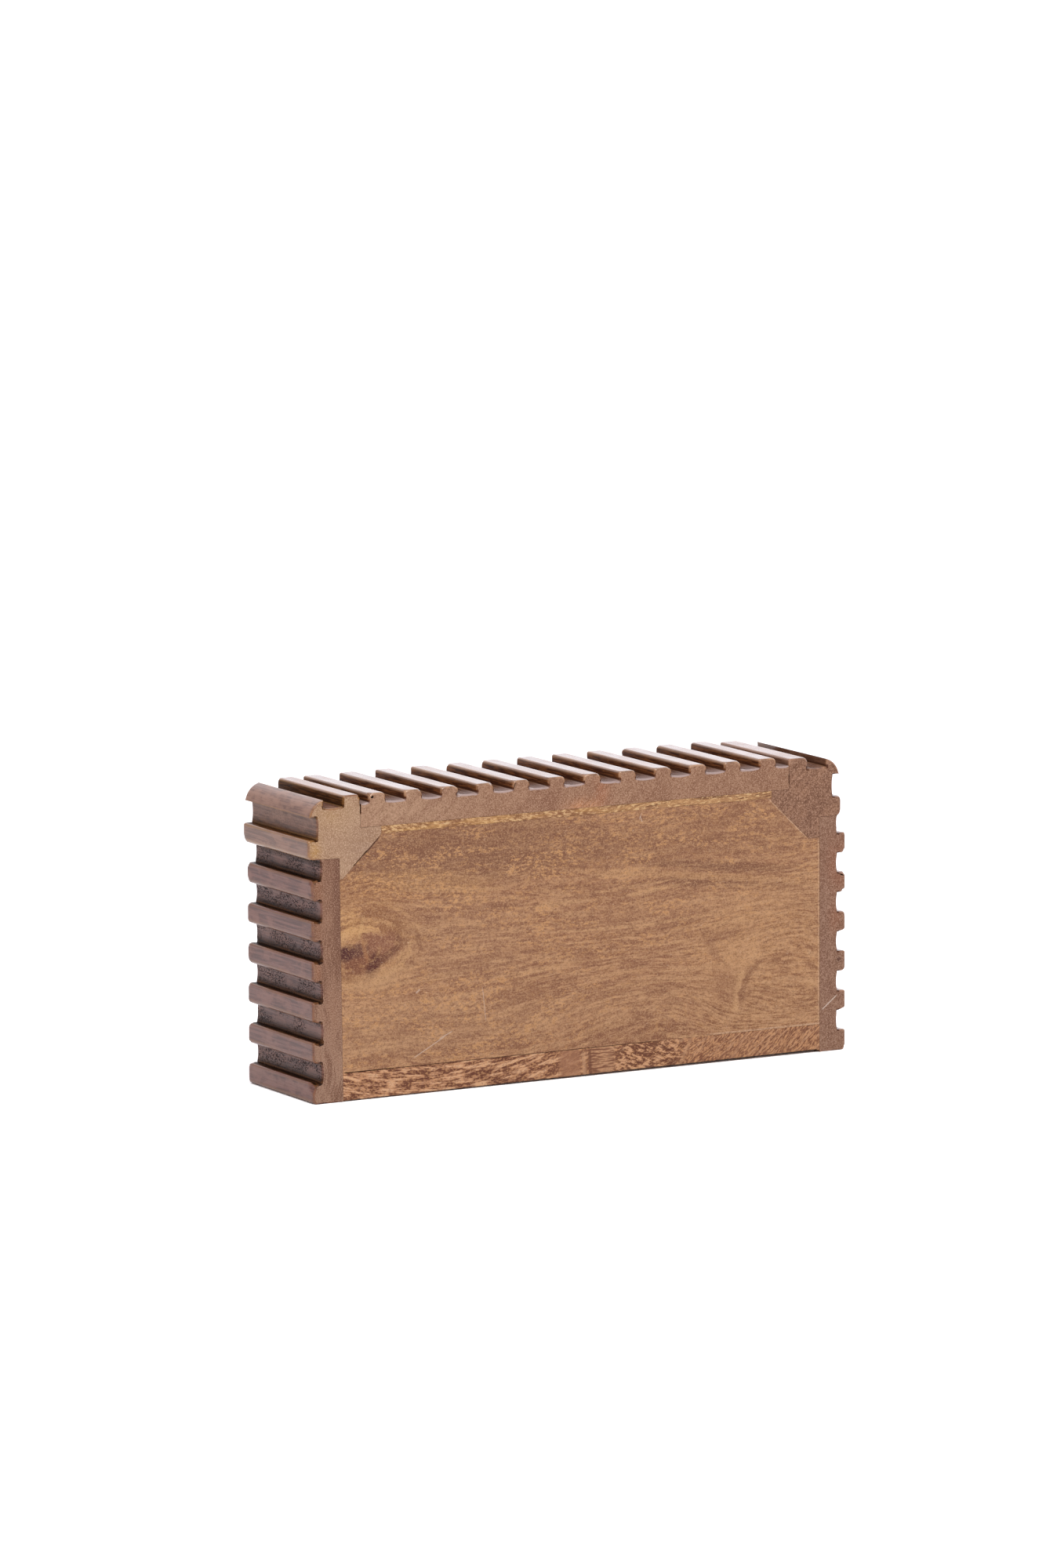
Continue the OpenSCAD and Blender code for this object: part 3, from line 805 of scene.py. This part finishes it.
def bottom_wood():
    """The bottom board: dark dashes at the left, curls in the middle, fine slanting grain at the right."""
    w = Wood("bottom_wood")
    left = w.grade(w.x, -40.0, 30.0, 1.0, 0.0)
    along = w.add(w.x, 100.0)
    z = w.add(w.z, w.mul(along, w.sub(0.22, w.mul(along, 0.0026))))
    dash = w.noise(w.join(w.mul(w.x, 0.13), w.mul(w.y, 0.3), w.mul(z, 0.72)), 3.0, 0.62, 41.0)
    speck = w.noise(w.join(w.mul(w.x, 0.9), w.mul(w.y, 0.6), w.mul(z, 1.5)), 3.0, 0.68, 43.0)
    tilted_z = w.add(w.z, w.mul(w.x, 0.3))
    curl = w.noise(w.join(w.mul(w.x, 0.4), w.mul(w.y, 0.3), w.mul(tilted_z, 1.1)), 3.0, 0.62, 49.0)
    broad = w.noise(w.scaled(0.07, 0.05, 0.12), 2.0, 0.5, 45.0)
    tone = w.mix(w.grade(w.x, -80.0, 40.0), (206, 152, 114), (150, 100, 72))
    tone = w.mix(w.grade(broad, 0.42, 0.6, 0.0, 0.5), tone, (160, 112, 84))
    tone = w.mix(w.mul(w.grade(dash, 0.48, 0.54), w.grade(left, 0.0, 1.0, 0.2, 0.85)), tone, (100, 50, 33))
    tone = w.mix(w.mul(w.grade(dash, 0.47, 0.4), w.grade(left, 0.0, 1.0, 0.5, 0.9)), tone, (236, 188, 146))
    tone = w.mix(w.mul(w.grade(speck, 0.51, 0.58), w.grade(left, 0.0, 1.0, 0.8, 0.5)), tone, (222, 166, 116))
    tone = w.mix(w.grade(speck, 0.475, 0.39, 0.0, 0.45), tone, (108, 62, 42))
    middle = w.mul(w.grade(w.x, 5.0, 18.0), w.grade(w.x, 50.0, 36.0))
    tone = w.mix(w.mul(middle, w.grade(curl, 0.50, 0.57, 0.0, 0.8)), tone, (104, 58, 38))
    tone = w.mix(w.mul(middle, w.grade(curl, 0.47, 0.41, 0.0, 0.8)), tone, (228, 176, 132))
    across_slant = w.mul(w.sub(w.x, w.mul(w.z, 1.2)), 0.9)
    along_slant = w.mul(w.add(w.z, w.mul(w.x, 0.8)), 0.25)
    slant = w.noise(w.join(across_slant, 0.0, along_slant), 3.0, 0.6, 57.0)
    far_end = w.grade(w.x, 40.0, 60.0)
    tone = w.mix(w.mul(far_end, w.grade(slant, 0.5, 0.58, 0.0, 0.55)), tone, (206, 154, 112))
    tone = w.mix(w.mul(far_end, w.grade(slant, 0.47, 0.4, 0.0, 0.4)), tone, (122, 78, 56))
    plain = w.blot(-5.0, 5.5, 4.5, 9.0, 0.0, 0.4)
    tone = w.mix(w.mul(plain, 0.7), tone, (170, 120, 90))
    bars = w.noise(w.join(w.mul(w.x, 0.12), 0.0, w.mul(w.z, 1.6)), 2.0, 0.5, 47.0)
    zone = w.blot(8.5, 6.0, 5.5, 7.0, 0.0, 0.3)
    tone = w.mix(w.mul(zone, 0.6), tone, (202, 154, 116))
    tone = w.mix(w.mul(zone, w.grade(bars, 0.48, 0.58, 0.0, 0.85)), tone, (120, 70, 50))
    tone = w.mix(w.mul(w.stroke(3.6, -1.0, 3.2, 11.0, 1.0), 0.7), tone, (112, 66, 48))
    tone = w.mix(w.mul(w.stroke(1.2, 0.0, 0.6, 10.0, 1.2), 0.6), tone, (208, 160, 122))
    tone = w.mix(w.mul(w.stroke(40.0, -2.0, 47.0, 11.0, 0.9), 0.5), tone, (206, 158, 118))
    tone = w.mix(w.mul(w.stroke(62.0, -2.0, 72.0, 12.0, 1.1), 0.4), tone, (186, 138, 104))
    w.bump(speck, 0.1, 0.0002)
    return w.finish(tone, 0.55)


def cleat_wood():
    """Plain sawn pine-like wood for the hidden cleats."""
    w = Wood("cleat_wood")
    broad = w.noise(w.scaled(0.2, 0.2, 0.2), 3.0, 0.6, 51.0)
    fibre = w.noise(w.scaled(0.2, 1.8, 1.8), 3.0, 0.6, 53.0)
    tone = w.mix(w.grade(broad, 0.4, 0.6), (176, 134, 100), (150, 108, 80))
    tone = w.mix(w.grade(fibre, 0.5, 0.62, 0.0, 0.6), tone, (124, 84, 60))
    w.bump(fibre, 0.15, 0.0002)
    return w.finish(tone, 0.65)


# ---------------------------------------------------------------- the pieces

SHOWN = ("left_side_board", "right_side_board", "top_board", "left_corner_block",
         "right_corner_block", "front_panel", "front_edge_strip", "bottom_board")
LOOPS = {n: cad_outline(n) for n in SHOWN}
FULL = (FRONT_Y, BACK_Y)
RIBBED_STEP = 0.5 * MM
FLAT_STEP = 1.0 * MM
# The underside of the rounded rib on the left corner block, a little lowered
LIP_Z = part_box("left_corner_block")[1].z - 8 * MM


def place_piece(piece, node):
    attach(piece, "root")
    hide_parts(node)


def ribbed(node, materials, neighbours, seed, sign, slits=(), chip_count=40, extra_chips=()):
    """One of the boards or blocks with ribs, from its CAD outline.

    sign is 1 where its side ribs face left, -1 where they face right, and 0 on the top board.
    """
    low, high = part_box(node)
    edge = low.x if sign > 0 else high.x

    def floor_depth(points):
        inside = (points[:, 0] - edge) * sign if sign else high.z - points[:, 1]
        reached = (inside < 6.0 * MM) * (points[:, 1] < LIP_Z if sign else 1.0)
        return np.clip((inside - 2.0 * MM) / (0.8 * MM), 0, 1) * reached

    def shade(points, normal):
        """Painted shade: on the walls of the top grooves, weaker on the right block, and on the left ribs'
        ledges and the groove floors just above them.
        """
        under = high.z - points[:, 1]
        wall = np.clip(np.abs(normal[:, 0]) * 2 - 0.6, 0, 1) * (under > 0.5 * MM) * (under < 4.5 * MM)
        wall *= np.clip(0.7 + under / (4.0 * MM), 0, 1)
        if sign == 0:
            return wall
        inside = (points[:, 0] - edge) * sign
        wall *= inside > 5.5 * MM
        if sign < 0:
            return 0.45 * wall * np.clip((under - 1.4 * MM) / (0.9 * MM), 0, 1)
        below_lip = points[:, 1] < LIP_Z
        ledge = np.clip(normal[:, 1] * 2 - 0.6, 0, 1) * (inside > 0.6 * MM) * (inside < 6.5 * MM) * below_lip
        gap = np.linalg.norm(points[:, None, :] - points[ledge > 0.5][None, :, :], axis=2).min(axis=1)
        over = np.clip(1.25 - gap / (2.9 * MM), 0, 1) * (inside > 1.0 * MM) * (inside < 6.5 * MM) * below_lip
        return np.maximum(wall, np.maximum(ledge, 0.95 * over))

    loops = [LOOPS[n] for n in neighbours]
    points = fine(LOOPS[node], RIBBED_STEP)
    chips = random_chips(points, loops, chip_count, seed) + list(extra_chips)
    piece = sweep(node + "_wood", points, FULL, materials, neighbours=loops, chips=chips, slits=slits,
                  floor_depth=floor_depth, shade=shade)
    place_piece(piece, node)


def flat_board(node, material, neighbours, slits=(), lift=None):
    """A board without ribs, from the CAD outline of the face that looks outward."""
    low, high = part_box(node)
    back = low.y > 0
    loops = [LOOPS[n] for n in neighbours]
    points = fine(cad_outline(node, back), FLAT_STEP)
    piece = sweep(node + "_wood", points, (low.y, high.y), [material], ease=0.3 * MM, wave=0.0,
                  neighbours=loops, step=3.0 * MM, slits=slits, lift=lift)
    place_piece(piece, node)


def foot_lift(points):
    """The bottom board's underside stands 0.4 mm off the table at the left, and 1.1 mm at the right."""
    low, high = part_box("bottom_board")
    along = (points[:, 0] - low.x) / (high.x - low.x)
    return (points[:, 1] < 0.1 * MM) * (0.4 + 0.7 * along) * MM


def mm(*numbers):
    return tuple(n * MM for n in numbers)


# Open joints on the front: a line from one point to another, half its width, and how deep it goes
CHAMFER_CRACK = (mm(-83.6, 97.6), mm(-94.5, 86.8), 0.16 * MM, 4 * MM)
PANEL_GAP = (mm(-99.0, 10.6), mm(-80.0, 10.6), 0.16 * MM, 4 * MM)
PANEL_LINE = (mm(-80.0, 10.6), mm(30.0, 10.6), 0.08 * MM, 3 * MM)
LEFT_SLIT = (mm(-91.7, 105.7), mm(-91.7, 110.0), 0.22 * MM, 5 * MM)
RIGHT_SLIT = (mm(88.7, 102.6), mm(88.7, 105.8), 0.16 * MM, 4 * MM)

# Chips on the front edges of the left board's ribs: x, z, reach and depth, in mm
LEFT_CHIPS = (
    (-109.6, 67.4, 1.6, 0.5),
    (-109.6, 52.3, 1.6, 0.5),
    (-109.4, 22.6, 1.7, 0.6),
    (-111.8, 7.4, 3.4, 1.0),
)

# Tinted spots of the end grain: middle and radii (mm), tint, share
LEFT_BOARD_SPOTS = (
    ((-101.4, 74.0, 2.2, 30.0), (116, 76, 58), 0.85),
    ((-105.0, 8.0, 16.0, 30.0), (174, 138, 115), 0.9),
    ((-104.0, 86.0, 3.0, 12.0), (128, 88, 68), 0.6),
    ((-103.0, 30.0, 3.0, 14.0), (164, 122, 96), 0.5),
    ((-109.5, 75.0, 2.0, 14.0), (146, 94, 64), 0.6),
    ((-109.5, 48.0, 1.6, 5.0), (150, 92, 60), 0.5),
)
RIGHT_BOARD_SPOTS = (
    ((110.0, 70.0, 6.0, 9.0), (162, 104, 76), 0.7),
    ((110.2, 34.6, 1.0, 1.0), (70, 36, 32), 0.95),
    ((104.0, 45.0, 4.0, 30.0), (150, 114, 94), 0.6),
    ((109.0, 50.0, 3.0, 6.0), (166, 108, 78), 0.5),
)
RIGHT_BOARD_SCRATCH = (102.6, 15.7, 109.8, 21.3, 0.3)
TOP_BOARD_SPOTS = (
    ((-80.0, 104.0, 30.0, 14.0), (190, 152, 122), 0.9),
    ((1.4, 100.4, 7.0, 3.0), (212, 150, 106), 1.0),
    ((-14.0, 104.0, 6.0, 6.0), (138, 94, 72), 0.5),
    ((9.0, 106.0, 3.0, 6.0), (176, 110, 76), 0.6),
)
LEFT_BLOCK_SPOTS = (
    ((-110.5, 93.2, 2.5, 4.5), (190, 144, 82), 0.9),
    ((-104.0, 106.0, 9.0, 5.0), (184, 144, 98), 0.6),
    ((-90.0, 92.0, 7.0, 9.0), (168, 134, 112), 0.7),
)

side_lacquer = lacquered(
    "side_lacquer", 61.0, base=(130, 84, 74), dark=(96, 58, 52), light=(148, 104, 92),
    amber=(150, 100, 64), floor_dull=0.3)
# Its amber, on the corners and rims, is partly wear and partly painted light: kept pale to brighten the edges
# of the right block's rounded rib, where little light reaches
right_lacquer = lacquered(
    "right_lacquer", 62.0, base=(146, 102, 79), dark=(112, 74, 55), light=(160, 117, 94),
    amber=(184, 137, 106), crease_shade_tint=(80, 42, 22), coat=0.8, pits=0.2, wall_glow=0.4)
top_lacquer = lacquered(
    "top_lacquer", 63.0, base=(122, 74, 44), dark=(84, 46, 24), light=(140, 94, 62),
    amber=(200, 156, 122), crease_shade_tint=(84, 42, 20), glow_tint=(160, 100, 56),
    coat=0.92, bump=0.1, pits=0.0, mouth_sheen_share=0.75, rim_share=0.8, wall_glow=0.75, floor_dull=0.0)
left_block_lacquer = lacquered(
    "left_block_lacquer", 65.0, base=(146, 100, 78), dark=(112, 72, 54), light=(166, 122, 100),
    amber=(176, 126, 74), crease_shade_tint=(70, 38, 12), coat=0.75, pits=0.3, wall_glow=0.5)

left_end = end_grain(
    "left_board_end", 71.0, base=(142, 102, 80), dark=(122, 82, 62), light=(158, 118, 94),
    ring_lean=0.0, ring_step=2.6, ring_share=0.7, spots=LEFT_BOARD_SPOTS)
right_end = end_grain(
    "right_board_end", 73.0, base=(146, 106, 84), dark=(132, 92, 71), light=(156, 118, 95),
    ring_lean=10.0, ring_step=5.0, ring_share=0.4, spots=RIGHT_BOARD_SPOTS, scratch=RIGHT_BOARD_SCRATCH)
top_end = end_grain(
    "top_board_end", 75.0, base=(156, 114, 88), dark=(142, 99, 75), light=(168, 127, 100),
    ring_lean=-46.0, ring_step=3.0, ring_share=0.5, spots=TOP_BOARD_SPOTS, wave=4.0)
left_block_end = end_grain(
    "left_block_end", 77.0, base=(177, 140, 111), dark=(164, 126, 97), light=(187, 152, 122),
    ring_lean=84.0, ring_step=5.0, ring_share=0.6, spots=LEFT_BLOCK_SPOTS)
right_block_end = end_grain(
    "right_block_end", 79.0, base=(142, 102, 79), dark=(114, 76, 56), light=(162, 120, 94),
    ring_lean=-46.0, ring_step=0.9, ring_share=0.45, wave=3.0)

ribbed("left_side_board", [side_lacquer, left_end],
       ("left_corner_block", "front_panel", "bottom_board"), 101, 1,
       extra_chips=[mm(x, z) + (FRONT_Y,) + mm(reach, depth) for x, z, reach, depth in LEFT_CHIPS])
ribbed("right_side_board", [right_lacquer, right_end],
       ("right_corner_block", "front_panel", "bottom_board"), 102, -1)
ribbed("top_board", [top_lacquer, top_end],
       ("left_corner_block", "right_corner_block", "front_edge_strip", "front_panel"), 103, 0,
       (LEFT_SLIT, RIGHT_SLIT), 90)
ribbed("left_corner_block", [left_block_lacquer, left_block_end],
       ("left_side_board", "top_board", "front_panel", "front_edge_strip"), 104, 1,
       (LEFT_SLIT, CHAMFER_CRACK), 16)
ribbed("right_corner_block", [right_lacquer, right_block_end],
       ("right_side_board", "top_board", "front_panel", "front_edge_strip"), 105, -1,
       (RIGHT_SLIT,), 12)

AROUND = ("left_side_board", "right_side_board", "top_board", "left_corner_block", "right_corner_block",
          "bottom_board", "front_edge_strip")
panel = panel_wood("panel_wood")
strip = strip_wood()
bottom = bottom_wood()
flat_board("front_panel", panel, AROUND, (CHAMFER_CRACK, PANEL_GAP, PANEL_LINE))
flat_board("back_panel", panel, AROUND)
flat_board("front_edge_strip", strip, AROUND + ("front_panel",))
flat_board("back_edge_strip", strip, AROUND + ("front_panel",))
flat_board("bottom_board", bottom, ("left_side_board", "right_side_board", "front_panel"),
           (PANEL_GAP, PANEL_LINE), foot_lift)

cleat = cleat_wood()
for node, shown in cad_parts.items():
    if node.endswith("_cleat"):
        shown.data.materials.clear()
        shown.data.materials.append(cleat)
